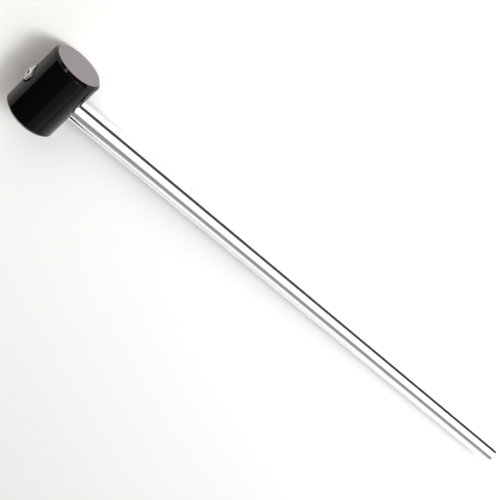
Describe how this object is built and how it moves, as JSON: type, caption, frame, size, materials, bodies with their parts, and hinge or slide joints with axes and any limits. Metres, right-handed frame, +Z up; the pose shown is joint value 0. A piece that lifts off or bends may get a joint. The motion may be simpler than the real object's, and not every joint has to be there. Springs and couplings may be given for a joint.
{
  "type": "cross-head mallet",
  "caption": "Mallet with a hard black cylindrical head set crosswise on a straight polished steel rod, held by a fastener in a round recess, modelled as a hex nut.",
  "frame": {"origin": "centre of the bottom of the whole mallet's box, on the surface that the mallet lies on", "axes": "+X from the head towards the rod's free end, Y along the head from one striking face to the other, +Z up"},
  "size_m": [0.4784, 0.0508, 0.0381],
  "materials": {
    "polished_rod": "polished bright steel",
    "black_head": "glossy black, turned and buffed",
    "zinc_washer": "zinc plated",
    "bright_nut": "bright nickel plated"
  },
  "bodies": {
    "root": {"handle_rod": "polished_rod", "mallet_head": "black_head", "flat_washer": "zinc_washer", "lock_washer": "zinc_washer", "hex_nut": "bright_nut"}
  },
  "joints": []
}
